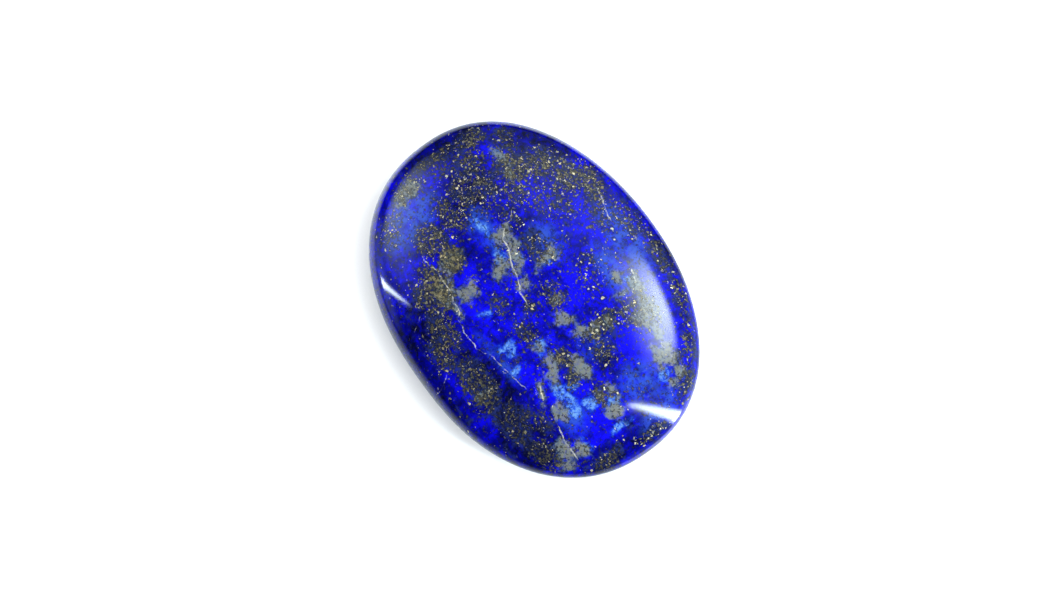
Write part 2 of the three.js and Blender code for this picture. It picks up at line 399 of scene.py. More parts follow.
def underside_marks(form):
    """Patches, clouds and shades of the same kinds, strewn over the side that lies down."""
    rng = np.random.default_rng(UNDERSIDE_SEED)

    def place():
        angle, share = rng.uniform(0, 2 * math.pi), math.sqrt(rng.uniform(0, 1))
        radius = share * float(form.radius(angle, share))
        return radius * math.cos(angle), radius * math.sin(angle)

    def strewn(kind, count, *spans):
        return [kind(*place(), *(rng.uniform(*span) for span in spans)) for _ in range(count)]

    clouds = strewn(Cloud, *UNDERSIDE_CLOUDS)
    shades = strewn(Shade, *UNDERSIDE_SHADES)
    calcite = strewn(Patch, *UNDERSIDE_CALCITE)
    sky_blue = strewn(Patch, *UNDERSIDE_SKY_BLUE)
    return calcite, sky_blue, clouds, shades


def ring(points, mark, height, turn=0.0):
    """0 at the middle of a mark and 1 on its edge, and its mean radius, which is also its depth."""
    cos, sin = math.cos(math.radians(turn)), math.sin(math.radians(turn))
    x, y = points[:, 0] - mark.x, points[:, 1] - mark.y
    along, across = (x * cos + y * sin) / (mark.length / 2), (y * cos - x * sin) / (mark.width / 2)
    radius = math.sqrt(mark.length * mark.width) / 2
    return np.sqrt(along**2 + across**2 + ((points[:, 2] - height) / radius) ** 2), radius


def patch_reach(points, form, patches, crown):
    """How far inside the nearest patch each point lies, in millimetres, and less than 0 outside."""
    reach = np.full(len(points), FAR_OUTSIDE)
    for patch in patches:
        height = float(form.side_height(patch.x, patch.y, crown))
        share, radius = ring(points, patch, height, patch.turn)
        np.maximum(reach, (1 - share) * radius, out=reach)
    return reach


def softly(share):
    """1 round the middle of a mark, falling smoothly to 0 outside its edge."""
    fall = np.clip(FADED - share, 0, 1)
    return fall * fall * (3 - 2 * fall)


def cloud_amounts(points, form, clouds, crown):
    """How much gold and how much dark rock the clouds of pyrite bring to each point."""
    gold, dark = np.zeros(len(points)), np.zeros(len(points))
    for cloud in clouds:
        height = float(form.side_height(cloud.x, cloud.y, crown))
        amount = softly(ring(points, cloud, height, cloud.turn)[0])
        np.maximum(gold, amount * cloud.gold, out=gold)
        np.maximum(dark, amount * cloud.dark, out=dark)
    return gold, dark


def shade_depth(points, form, shades, crown):
    """How much darker, below 0, or more vivid, above 0, the blue is at each point."""
    depth = np.zeros(len(points))
    for shade in shades:
        height = float(form.side_height(shade.x, shade.y, crown))
        depth += softly(ring(points, shade, height)[0]) * shade.depth
    return np.clip(depth, -1, 1)


def nugget_reach(points, form):
    """How far inside the nearest nugget of pyrite each point lies, in millimetres."""
    reach = np.full(len(points), NUGGET_OUTSIDE)
    for nugget in NUGGETS:
        centre = (nugget.x, nugget.y, float(form.side_height(nugget.x, nugget.y, True)))
        np.maximum(reach, nugget.size / 2 - np.linalg.norm(points - centre, axis=1), out=reach)
    return reach


def vein_lines(points, veins, on_this_side):
    """Each point's distance from the nearest vein, above 0 on its left, and the vein's width there."""
    side = np.full(len(points), VEIN_SIDE)
    width = np.zeros(len(points))
    nearest = np.full(len(points), np.inf)
    for vein in veins:
        path = np.array(vein.path)
        steps = np.diff(path, axis=0)
        lengths = np.linalg.norm(steps, axis=1)
        begins = np.concatenate(([0], np.cumsum(lengths)))
        for start, step, length, begin in zip(path, steps, lengths, begins):
            away = points[:, :2] - start
            along = np.clip(away @ step / length**2, 0, 1)
            distance = np.linalg.norm(away - along[:, None] * step, axis=1)
            closer = (distance < nearest) & on_this_side
            nearest[closer] = distance[closer]
            left = np.sign(step[0] * away[:, 1] - step[1] * away[:, 0])
            side[closer] = (distance * left)[closer]
            ends = (begin + along * length) / begins[-1]
            tapered = vein.width * np.clip(np.minimum(ends, 1 - ends) * VEIN_TAPER + VEIN_TIP, 0, 1)
            width[closer] = tapered[closer]
    width *= np.clip((VEIN_SIDE - nearest) / VEIN_SIDE * 2, 0, 1)
    return np.clip(side, -VEIN_SIDE, VEIN_SIDE), width


def mark_stone(mesh, points, form):
    """Stores the markings on the mesh, as one smooth value each, for the material to break up."""
    low_calcite, low_sky_blue, low_clouds, low_shades = underside_marks(form)
    calcite, sky_blue = (
        np.maximum(patch_reach(points, form, top, True), patch_reach(points, form, low, False))
        for top, low in ((CALCITE, low_calcite), (SKY_BLUE, low_sky_blue))
    )
    haze = patch_reach(points, form, HAZE_AND_PAINTED_VEIL, True) / HAZE_EDGE + 0.5
    top_amounts = cloud_amounts(points, form, CLOUDS, True)
    low_amounts = cloud_amounts(points, form, low_clouds, False)
    gold, dark = (np.maximum(top, low) for top, low in zip(top_amounts, low_amounts))
    # shade: the blue's own tones, with painted shade along the rim and the near edge
    shade = shade_depth(points, form, TONES_AND_PAINTED_SHADE, True) + shade_depth(points, form, low_shades, False)
    on_top = points[:, 2] > form.girdle_height(np.arctan2(points[:, 1], points[:, 0]))
    side, width = vein_lines(points, VEINS, on_top)
    low_side, low_width = vein_lines(points, UNDERSIDE_VEINS, ~on_top)
    values = {
        "calcite_reach": calcite,
        "sky_reach": sky_blue,
        "haze": np.clip(haze, 0, 1),
        "gold": gold,
        "dark": dark,
        "shade": np.clip(shade, -1, 1),
        "nugget_reach": nugget_reach(points, form),
        "vein_side": np.where(on_top, side, low_side),
        "vein_width": np.where(on_top, width, low_width),
    }
    for name, value in values.items():
        attribute = mesh.attributes.new(name, "FLOAT", "POINT")
        attribute.data.foreach_set("value", value.astype(np.float32))


# --------------------------------------------------------------------------------------------
# Materials
# --------------------------------------------------------------------------------------------

# Noise has per_mm waves to a millimetre and is moved by its shift, so that no two are alike.
Noise = namedtuple("Noise", "per_mm detail roughness warp shift", defaults=(2.0, 0.5, 0.0, 0.0))
# An effect goes from bottom to top as the value that brings it goes from low to high.
Span = namedtuple("Span", "low high bottom top", defaults=(0.0, 1.0))
# Grains of one size: cells to a millimetre, the largest grain and its rocky rim in millimetres, the
# share of the cells that holds a grain anywhere, and how much larger that is in the thickest cloud
Grains = namedtuple("Grains", "per_mm largest rim scattered clouded")

BLACK = (0.0, 0.0, 0.0)
WHITE = (1.0, 1.0, 1.0)
SHIFT_WAY = (1.0, 1.7, 0.6)
MASK_EDGE = 0.5  # the value of a mask along its edge
MIX_AMOUNT, MIX_FIRST, MIX_SECOND, MIX_RESULT = 0, 6, 7, 2  # sockets of a Mix node for colours

# Shared by several minerals
SPECKLE = Noise(2.4, detail=4.0, roughness=0.65, shift=41.0)
STAIN = Noise(0.9, detail=4.0, roughness=0.7, shift=67.0)
COOL_TO_WARM = Span(0.34, 0.58)
COOL_TINT = (0.95, 1.02, 1.08)
WARM_TINT = (1.08, 0.97, 0.80)  # rust-stained grains and rock
BUNCHES = Noise(0.6, detail=4.0, roughness=0.6, shift=81.0)
WAVER = Noise(1.3, detail=3.0, shift=61.0)  # bends the edges of nuggets and veins

# Ragged edges of patches
FRAY = Noise(0.6, detail=4.0, roughness=0.62, warp=0.5)
FRAY_MIDDLE = 0.46

# Grains
GRAIN_WOBBLE = Noise(2.2, detail=3.0)
GRAIN_WARP = (0.8, 0.8, 0.8)  # mm
HALF = (0.5, 0.5, 0.5)
GRAIN_CHANCE = Span(-0.01, 0.01)
GRAIN_SIZES = Span(-0.2, 1.0, bottom=0.3)
GRAIN_EDGE = Span(-0.04, 0.04)
GRAIN_RIM_EDGE = Span(-0.12, 0.12)

# The blue, by how vivid it is
DRIFT = Noise(0.16, detail=3.0, shift=3.0)
MOTTLE = Noise(0.7, detail=6.0, roughness=0.6, warp=0.6, shift=7.0)
MOTTLE_MIDDLE = 0.45
VIVID_BY_DARK, VIVID_BY_DRIFT, VIVID_BY_MOTTLE = -0.6, 1.5, 5.0
NAVY_TO_BLUE = Span(-1.4, 0.0)
BLUE_TO_VIVID = Span(-0.3, 1.0)
HAZE_CLOTS = Noise(0.5, detail=5.0, roughness=0.65, warp=0.5, shift=13.0)
HAZE_SHARE = Span(0.36, 0.58, bottom=0.1, top=0.9)
DULL_CLOTS = Noise(0.3, detail=5.0, roughness=0.7, warp=0.5, shift=95.0)
DULL_BY_DARK = 0.24
DULL_SHARE = Span(0.54, 0.68)
DULL_OVER_VIVID = Span(1.1, -0.3, top=0.85)
DULL_OVER_NAVY = Span(-2.0, -0.6, bottom=0.4)

# Light blue patches
SKY_EDGE = {"Raggedness": 4.5, "Softness": 1.2, "Shift": 21.0}
SKY_BLUE_SHARE = Span(0.1, 0.8, top=0.75)
LIGHT_BLUE_SHARE = Span(0.4, 1.0, top=0.85)
LIGHT_BLUE_FLECKS = Noise(1.5, detail=4.0, roughness=0.65, warp=0.5, shift=17.0)
LIGHT_BLUE_FLECKED = Span(0.36, 0.6)

# Calcite, clouded with blue where it is least milky
CALCITE_EDGE = {"Raggedness": 4.5, "Softness": 1.0, "Shift": 0.0}
MILK = Noise(1.0, detail=5.0, roughness=0.7, shift=51.0)
# Through MILKY_BY_SHADE the calcite takes the painted shade along the rim and the near edge, going bluer and
# darker
MILKY_BY_NOISE, MILKY_BY_MASK, MILKY_BY_SHADE = 1.6, 0.5, 0.2
BLUE_TO_GREY = Span(0.8, 1.4)
CALCITE_SHARE = Span(0.0, 0.9)
CALCITE_SPECKLED = Span(0.3, 0.52, bottom=0.6, top=0.95)

# Pyrite
BUNCHED = Span(0.3, 0.55, bottom=0.3)
COARSE = Grains(1.5, largest=0.31, rim=0.12, scattered=0.045, clouded=0.82)
DUST = Grains(3.0, largest=0.17, rim=0.03, scattered=0.02, clouded=0.6)
NUGGET_WAVER = 1.4
NUGGET_EDGE = Span(0.1, 0.24)
NUGGET_RIM = Span(-0.35, -0.1)
# Painted glints: where pyrite takes its bright colour rather than its brown one
NUGGET_GLINT = Span(0.3, 0.6, bottom=0.3, top=0.9)
GRAIN_GLINT = Span(0.35, 1.0)
PYRITE_SHARE = 0.95
PYRITE_METAL = 0.5

# Dark rock between the grains, in clots with paler cores
CLOTS = Noise(2.0, detail=3.0, roughness=0.6, warp=0.4, shift=31.0)
CLOT_LIMIT = 0.72
LIMIT_BY_DARK, LIMIT_BY_BUNCHES, LIMIT_BY_CALCITE_EDGE = -0.18, -0.2, -0.1
NAVY_ROUND_CLOTS = Span(-0.1, 0.0, top=0.65)
ROCK_SHARE = Span(-0.06, 0.07, top=0.85)
# Through CORE_BY_SHADE the rock takes the painted shade along the rim and the near edge, going darker
CORE_BY_SPECKLE, CORE_BY_SHADE = 0.7, 0.09
DARK_TO_OLIVE = Span(0.3, 0.44)
OLIVE_TO_PALE = Span(0.44, 0.62)
ROCKY_RIM_SHARE = 0.55

# Veins
VEIN_WAVER = 0.6
VEIN_SWELL = Noise(0.9, detail=4.0, roughness=0.6, shift=71.0)
VEIN_SWOLLEN = Span(0.34, 0.62, bottom=0.1, top=1.1)
VEIN_HALF = 0.34  # half of the width of a vein that isn't swollen, as a share of its width
VEIN_EDGE = Span(-0.08, 0.05)
VEIN_THIN = Span(0.0, 0.06)
VEIN_BROKEN = Span(0.34, 0.55, bottom=0.1, top=0.95)

# Finish
CALCITE_ROUGHER, PYRITE_ROUGHER = 0.04, 0.26
GRAIN_LEAN = 0.5
PYRITE_RELIEF, SPECKLE_RELIEF, CALCITE_RELIEF = -0.004, 0.002, 0.004
LAPIS_IOR = 1.5


def opaque(colour):
    """A colour with full alpha. A node's output is left as it is."""
    return colour if isinstance(colour, bpy.types.NodeSocket) else (*colour, 1.0)


class Bench:
    """Adds nodes to one node tree and wires them up."""

    def __init__(self, tree):
        self.tree = tree

    def wire(self, sockets, wires):
        """Gives each socket, by name or number, a value or another node's output."""
        for name, value in wires.items():
            if isinstance(value, bpy.types.NodeSocket):
                self.tree.links.new(value, sockets[name])
            else:
                sockets[name].default_value = value

    def node(self, kind, wires=None, **settings):
        """A new node, with its settings made before its inputs are wired."""
        node = self.tree.nodes.new(kind)
        for name, value in settings.items():
            setattr(node, name, value)
        self.wire(node.inputs, wires or {})
        return node

    def sum(self, operation, *values):
        """The result of a Math node."""
        return self.node("ShaderNodeMath", dict(enumerate(values)), operation=operation).outputs[0]

    def plus(self, first, *weighted):
        """The first value, with each of the others added to it times its weight."""
        for value, weight in weighted:
            first = self.sum("MULTIPLY_ADD", value, weight, first)
        return first

    def product(self, first, *others):
        """All the values multiplied."""
        for other in others:
            first = self.sum("MULTIPLY", first, other)
        return first

    def greatest(self, first, *others):
        """The greatest of the values."""
        for other in others:
            first = self.sum("MAXIMUM", first, other)
        return first

    def vector_sum(self, operation, *values, output="Vector"):
        """The result of a Vector Math node."""
        wires = dict(enumerate(values))
        return self.node("ShaderNodeVectorMath", wires, operation=operation).outputs[output]

    def step(self, value, low, high, bottom=0.0, top=1.0):
        """Goes smoothly from bottom to top as value goes from low to high."""
        wires = {"Value": value, "From Min": low, "From Max": high, "To Min": bottom, "To Max": top}
        return self.node("ShaderNodeMapRange", wires, interpolation_type="SMOOTHSTEP").outputs[0]

    def blend(self, amount, first, second):
        """The first colour where amount is 0 and the second where it is 1."""
        wires = {MIX_AMOUNT: amount, MIX_FIRST: opaque(first), MIX_SECOND: opaque(second)}
        return self.node("ShaderNodeMix", wires, data_type="RGBA").outputs[MIX_RESULT]

    def noise(self, place, noise, output=0):
        """Noise from 0 to 1, or with output 1 a colour of three such noises."""
        wires = {
            "Vector": self.vector_sum("ADD", place, [noise.shift * part for part in SHIFT_WAY]),
            "Scale": noise.per_mm,
            "Detail": noise.detail,
            "Roughness": noise.roughness,
            "Distortion": noise.warp,
        }
        return self.node("ShaderNodeTexNoise", wires).outputs[output]

    def swing(self, place, noise, middle=0.5):
        """Noise that swings to both sides of 0."""
        return self.sum("SUBTRACT", self.noise(place, noise), middle)

    def attribute(self, name):
        """A value stored on the mesh."""
        return self.node("ShaderNodeAttribute", attribute_name=name).outputs["Fac"]

    def place(self):
        """Where a point lies in its object, in millimetres."""
        coordinates = self.node("ShaderNodeTexCoord").outputs["Object"]
        return self.vector_sum("DIVIDE", coordinates, (MILLIMETRE,) * 3)

    def group(self, group, wires):
        """Places a node group and returns its outputs."""
        return self.node("ShaderNodeGroup", wires, node_tree=group).outputs


def shader_group(name, inputs, outputs):
    """An empty node group, with a Bench for it, what it is given, and where its results go."""
    group = bpy.data.node_groups.new(name, "ShaderNodeTree")
    for way, sockets in (("INPUT", inputs), ("OUTPUT", outputs)):
        for socket, kind in sockets.items():
            group.interface.new_socket(socket, in_out=way, socket_type=f"NodeSocket{kind}")
    bench = Bench(group)
    return group, bench, bench.node("NodeGroupInput").outputs, bench.node("NodeGroupOutput").inputs


def new_material(name):
    """A new material, with a Bench for it and the inputs of its shader."""
    material = bpy.data.materials.new(name)
    material.use_nodes = True
    tree = material.node_tree
    return material, Bench(tree), tree.nodes["Principled BSDF"].inputs


def ragged_patch_group():
    """A mask for a patch with a feathery, broken edge."""
    group, bench, given, result = shader_group(
        "Ragged patch",
        {"Place": "Vector", "Reach": "Float", "Raggedness": "Float", "Softness": "Float", "Shift": "Float"},
        {"Mask": "Float"},
    )
    place = bench.vector_sum("ADD", given["Place"], given["Shift"])
    frayed = bench.swing(place, FRAY, FRAY_MIDDLE)
    edge = bench.plus(given["Reach"], (frayed, given["Raggedness"]))
    outside = bench.product(given["Softness"], -1.0)
    bench.wire(result, {"Mask": bench.step(edge, outside, given["Softness"])})
    return group


def grains_group():
    """Angular grains of one size through the rock, each with a brightness, a slope and a rocky rim."""
    group, bench, given, result = shader_group(
        "Grains",
        {"Place": "Vector", "Per millimetre": "Float", "Amount": "Float", "Largest": "Float", "Rim": "Float"},
        {"Mask": "Float", "Rim": "Float", "Brightness": "Float", "Slope": "Float"},
    )
    wobble = bench.vector_sum("SUBTRACT", bench.noise(given["Place"], GRAIN_WOBBLE, output=1), HALF)
    warped = bench.vector_sum("MULTIPLY_ADD", wobble, GRAIN_WARP, given["Place"])
    wires = {"Vector": warped, "Scale": given["Per millimetre"]}
    cells = bench.node("ShaderNodeTexVoronoi", wires, distance="MANHATTAN").outputs
    distance = bench.sum("DIVIDE", cells["Distance"], given["Per millimetre"])
    chance = bench.node("ShaderNodeSeparateColor", {0: cells["Color"]}).outputs
    there = bench.step(bench.sum("SUBTRACT", given["Amount"], chance[0]), *GRAIN_CHANCE)
    size = bench.product(given["Largest"], bench.step(chance[1], *GRAIN_SIZES))
    inside = bench.sum("SUBTRACT", size, distance)
    rim = bench.step(bench.sum("ADD", inside, given["Rim"]), *GRAIN_RIM_EDGE)
    lean = bench.vector_sum("SUBTRACT", cells["Color"], HALF)
    across = bench.vector_sum("SUBTRACT", warped, cells["Position"])
    results = {
        "Mask": bench.product(there, bench.step(inside, *GRAIN_EDGE)),
        "Rim": bench.product(there, rim),
        "Brightness": chance[2],
        "Slope": bench.vector_sum("DOT_PRODUCT", lean, across, output="Value"),
    }
    bench.wire(result, results)
    return group


def lazurite(bench, place, settings):
    """The blue of the rock: navy, blue and vivid blue in small clots, some of it hazy or dulled."""
    dark = bench.attribute("dark")
    weights = (
        (dark, VIVID_BY_DARK),
        (bench.swing(place, DRIFT), VIVID_BY_DRIFT),
        (bench.swing(place, MOTTLE, MOTTLE_MIDDLE), VIVID_BY_MOTTLE),
    )
    # the shade marks darken the blue to navy, which along the rim and the near edge is painted shade
    vivid = bench.plus(bench.attribute("shade"), *weights)
    blue = bench.blend(bench.step(vivid, *NAVY_TO_BLUE), settings.navy, settings.blue)
    blue = bench.blend(bench.step(vivid, *BLUE_TO_VIVID), blue, settings.vivid_blue)
    # the haze is partly painted reflection of the softboxes' veils
    hazy = bench.step(bench.noise(place, HAZE_CLOTS), *HAZE_SHARE)
    blue = bench.blend(bench.product(hazy, bench.attribute("haze")), blue, settings.hazy_blue_and_painted_veil)
    dulled = bench.step(bench.plus(bench.noise(place, DULL_CLOTS), (dark, DULL_BY_DARK)), *DULL_SHARE)
    for span in (DULL_OVER_VIVID, DULL_OVER_NAVY):
        dulled = bench.product(dulled, bench.step(vivid, *span))
    return bench.blend(dulled, blue, settings.dull_blue)


def with_sky_blue(bench, place, patch, colour, settings):
    """The colour with the light blue patches on it, feathery and brightest in the middle."""
    wires = {"Place": place, "Reach": bench.attribute("sky_reach"), **SKY_EDGE}
    sky = bench.group(patch, wires)["Mask"]
    colour = bench.blend(bench.step(sky, *SKY_BLUE_SHARE), colour, settings.sky_blue)
    flecked = bench.step(bench.noise(place, LIGHT_BLUE_FLECKS), *LIGHT_BLUE_FLECKED)
    streaks = bench.product(bench.step(sky, *LIGHT_BLUE_SHARE), flecked)
    return bench.blend(streaks, colour, settings.light_blue)


def calcite_mask(bench, place, patch):
    """Where there is calcite."""
    wires = {"Place": place, "Reach": bench.attribute("calcite_reach"), **CALCITE_EDGE}
    return bench.group(patch, wires)["Mask"]


def with_calcite(bench, place, calcite, speckle, tint, colour, settings):
    """The colour with calcite on it, clouded with blue towards its edges."""
    milky = bench.product(bench.noise(place, MILK), MILKY_BY_NOISE)
    # the shade marks make calcite bluer and darker, which along the rim and the near edge is painted shade
    milky = bench.plus(milky, (calcite, MILKY_BY_MASK), (bench.attribute("shade"), MILKY_BY_SHADE))
    grey = bench.vector_sum("MULTIPLY", settings.calcite, tint)
    calcite_colour = bench.blend(bench.step(milky, *BLUE_TO_GREY), settings.blue_calcite, grey)
    share = bench.product(bench.step(calcite, *CALCITE_SHARE), bench.step(speckle, *CALCITE_SPECKLED))
    return bench.blend(share, colour, calcite_colour)


def strewn_grains(bench, place, group, grains, thick):
    """Grains of one size, with most of them where the pyrite is thick."""
    wires = {
        "Place": place,
        "Per millimetre": grains.per_mm,
        "Amount": bench.plus(grains.scattered, (thick, grains.clouded)),
        "Largest": grains.largest,
        "Rim": grains.rim,
    }
    return bench.group(group, wires)


def with_rock(bench, place, calcite, speckle, bunched, tint, colour, settings):
    """The colour with dark rock on it, thickest in the clouds, in clots with navy round them."""
    calcite_edge = bench.sum("PINGPONG", calcite, MASK_EDGE)
    weights = (
        (bench.attribute("dark"), LIMIT_BY_DARK),
        (bunched, LIMIT_BY_BUNCHES),
        (calcite_edge, LIMIT_BY_CALCITE_EDGE),
    )
    clot = bench.sum("SUBTRACT", bench.noise(place, CLOTS), bench.plus(CLOT_LIMIT, *weights))
    colour = bench.blend(bench.step(clot, *NAVY_ROUND_CLOTS), colour, settings.navy)
    # the shade marks make the rock darker, which along the rim and the near edge is painted shade
    core = bench.plus(clot, (speckle, CORE_BY_SPECKLE), (bench.attribute("shade"), CORE_BY_SHADE))
    rock = bench.blend(bench.step(core, *DARK_TO_OLIVE), settings.dark_rock, settings.olive_rock)
    rock = bench.blend(bench.step(core, *OLIVE_TO_PALE), rock, settings.pale_rock)
    rock = bench.vector_sum("MULTIPLY", rock, tint)
    return bench.blend(bench.step(clot, *ROCK_SHARE), colour, rock)


def with_veins(bench, place, waver, speckle, colour, settings):
    """The colour with the veins on it, thin, uneven and broken."""
    side = bench.sum("ABSOLUTE", bench.plus(bench.attribute("vein_side"), (waver, VEIN_WAVER)))
    swell = bench.step(bench.noise(place, VEIN_SWELL), *VEIN_SWOLLEN)
    half_width = bench.product(swell, VEIN_HALF, bench.attribute("vein_width"))
    vein = bench.step(bench.sum("SUBTRACT", half_width, side), *VEIN_EDGE)
    vein = bench.product(vein, bench.step(half_width, *VEIN_THIN), bench.step(speckle, *VEIN_BROKEN))
    return bench.blend(vein, colour, settings.vein)


def lapis_material(settings):
    """Blue lazurite with calcite, light blue patches, pyrite and veins, all polished flush."""
    material, bench, shader = new_material("polished_lapis")
    patch, grains = ragged_patch_group(), grains_group()
    place = bench.place()
    speckle = bench.noise(place, SPECKLE)
    bunched = bench.noise(place, BUNCHES)
    waver = bench.swing(place, WAVER)
    tint = bench.blend(bench.step(bench.noise(place, STAIN), *COOL_TO_WARM), COOL_TINT, WARM_TINT)

    calcite = calcite_mask(bench, place, patch)
    colour = lazurite(bench, place, settings)
    colour = with_sky_blue(bench, place, patch, colour, settings)
    colour = with_calcite(bench, place, calcite, speckle, tint, colour, settings)
    colour = with_rock(bench, place, calcite, speckle, bunched, tint, colour, settings)

    # Pyrite in three sizes, each grain in a rim of dark rock that the veins run over
    thick = bench.product(bench.attribute("gold"), bench.step(bunched, *BUNCHED))
    coarse = strewn_grains(bench, place, grains, COARSE, thick)
    dust = strewn_grains(bench, place, grains, DUST, thick)
    nugget_edge = bench.plus(bench.attribute("nugget_reach"), (waver, NUGGET_WAVER))
    nugget = bench.step(nugget_edge, *NUGGET_EDGE)
    rims = bench.greatest(coarse["Rim"], dust["Rim"], bench.step(nugget_edge, *NUGGET_RIM))
    colour = bench.blend(bench.product(rims, ROCKY_RIM_SHARE), colour, settings.dark_rock)
    colour = with_veins(bench, place, waver, speckle, colour, settings)
    pyrite = bench.greatest(coarse["Mask"], dust["Mask"], nugget)
    # the bright pyrite colour on some grains and parts of nuggets is a painted glint
    nugget_glint = bench.product(nugget, bench.step(speckle, *NUGGET_GLINT))
    bright = bench.greatest(bench.step(coarse["Brightness"], *GRAIN_GLINT), nugget_glint)
    pyrite_colour = bench.blend(bright, settings.dull_pyrite, settings.pyrite)
    pyrite_colour = bench.vector_sum("MULTIPLY", pyrite_colour, tint)
    colour = bench.blend(bench.product(pyrite, PYRITE_SHARE), colour, pyrite_colour)

    # Finish: pyrite takes a duller polish and stands a hair lower, and its grains lean all ways
    polish = settings.polish_roughness
    roughness = bench.step(calcite, 0.0, 1.0, polish, polish + CALCITE_ROUGHER)
    slope = bench.product(coarse["Slope"], coarse["Mask"])
    speckle_relief = bench.plus(SPECKLE_RELIEF, (calcite, CALCITE_RELIEF))
    relief = bench.product(pyrite, PYRITE_RELIEF)
    relief = bench.plus(relief, (slope, GRAIN_LEAN), (speckle, speckle_relief))
    bump = bench.node("ShaderNodeBump", {"Strength": 1.0, "Distance": MILLIMETRE, "Height": relief})
    finish = {
        "Base Color": colour,
        "Metallic": bench.product(pyrite, PYRITE_METAL),
        "Roughness": bench.plus(roughness, (pyrite, PYRITE_ROUGHER)),
        "Normal": bump.outputs[0],
        "IOR": LAPIS_IOR,
    }
    bench.wire(shader, finish)
    return material


# --------------------------------------------------------------------------------------------
# Settings
# --------------------------------------------------------------------------------------------


def length_property(name, description, default):
    """A length that the sidebar shows in the scene's own units."""
    return FloatProperty(
        name=name, description=description, default=default, min=0.0, unit="LENGTH", precision=4
    )


def colour_property(name, description, default):
    """A colour that the sidebar shows as a swatch."""
    return FloatVectorProperty(
        name=name, description=description, default=default, min=0.0, max=1.0, subtype="COLOR"
    )


def angle_property(name, description, degrees):
    """An angle that the sidebar shows in degrees."""
    return FloatProperty(name=name, description=description, default=math.radians(degrees), subtype="ANGLE")


def number_property(name, description, default, least=0.0, most=1000.0):
    """A plain number."""
    return FloatProperty(name=name, description=description, default=default, min=least, max=most)


class PALMSTONE_PG_stone(bpy.types.PropertyGroup):
    """Sizes and colours of the stone"""

    length: length_property("Length", "Length of the stone", NODE_SIZE.x)
    width: length_property("Width", "Width of the stone", NODE_SIZE.y)
    thickness: length_property("Thickness", "Height of the stone as it lies", NODE_SIZE.z)
    girdle_height: length_property("Girdle height", "Mean height at which the stone is widest", 0.0085)
    girdle_lean: length_property("Girdle lean", "How much higher the girdle is on its high side", 0.002)
    high_side: angle_property("High side", "Direction of the girdle's high side", 65)
    flat_spot_length: length_property("Flat spot", "Length of the flat spot underneath", 0.021)
    unevenness: length_property("Unevenness", "Depth of the waves that hand polishing leaves", 0.00004)
    outline_squareness: number_property(
        "Outline squareness", "2 is a true ellipse, more fills out its corners", 2.2, least=2.0
    )
    section_fullness: number_property(
        "Section fullness", "2 is a true ellipse, more gives a fuller edge", 2.3, least=2.0
    )
    polish_roughness: number_property("Polish", "Roughness of the polished surface", 0.08, most=1.0)
    vivid_blue: colour_property("Vivid blue", "The purest lazurite", (0.002, 0.001, 0.51))
    blue: colour_property("Blue", "Most of the lazurite", (0.0006, 0.0008, 0.19))
    navy: colour_property("Navy", "The darkest lazurite", (0.0006, 0.001, 0.022))
    # Hazy blue is partly painted reflection of the softboxes' veils.
    hazy_blue_and_painted_veil: colour_property("Hazy blue", "Lazurite a little lighter than the rest", (0.019, 0.056, 0.35))
    dull_blue: colour_property("Dull blue", "Lazurite dulled by other minerals", (0.013, 0.021, 0.085))
    sky_blue: colour_property("Sky blue", "Lazurite with a little calcite", (0.006, 0.042, 0.38))
    light_blue: colour_property("Light blue", "Lazurite mixed with calcite", (0.11, 0.25, 0.52))
    calcite: colour_property("Calcite", "Grey calcite", (0.125, 0.142, 0.125))
    blue_calcite: colour_property("Blue calcite", "Calcite clouded with blue", (0.034, 0.06, 0.115))
    vein: colour_property("Vein", "Pale calcite veins", (0.36, 0.35, 0.31))
    dark_rock: colour_property("Dark rock", "Rock between the grains of pyrite", (0.003, 0.005, 0.022))
    olive_rock: colour_property("Olive rock", "Browner rock among the pyrite", (0.042, 0.042, 0.026))
    pale_rock: colour_property("Pale rock", "The palest rock among the pyrite", (0.15, 0.14, 0.085))
    pyrite: colour_property("Pyrite", "Bright pyrite", (0.62, 0.57, 0.41))
    dull_pyrite: colour_property("Dull pyrite", "Pyrite that looks brown", (0.2, 0.182, 0.11))


class PALMSTONE_PG_stage(bpy.types.PropertyGroup):
    """The floor, the lights and the camera"""

    floor_width: length_property("Floor", "Width of the round sheet under the stone", 0.2)
    floor_colour: colour_property("Floor colour", "Colour of the floor", (0.93, 0.93, 0.93))
    brightness: number_property("Brightness", "Brightness of the softboxes and tubes", 1.0)
    lamp_colour: colour_property("Lamp colour", "Tint of the softboxes and tubes", (0.81, 0.95, 1.0))
    room_colour: colour_property("Room colour", "Tint of the room in reflections", (0.74, 0.93, 1.0))
    fill: number_property("Fill", "Soft light from all round and above", 1.0)
    glow: number_property("Glow", "Brightness of the wall that the stone reflects", 0.22)
    wall_azimuth: angle_property("Wall azimuth", "Direction of the middle of the wall", 126.5)
    camera_azimuth: angle_property("Camera azimuth", "Direction to the right of the camera's view", 54.1)
    camera_elevation: angle_property("Camera elevation", "How steeply the camera looks down", 80.0)
    camera_distance: length_property("Camera distance", "Distance of the camera from the stone", 0.489)
    lens: number_property("Lens", "Focal length in millimetres", 100.0, least=1.0)


# --------------------------------------------------------------------------------------------
# The stage
# --------------------------------------------------------------------------------------------

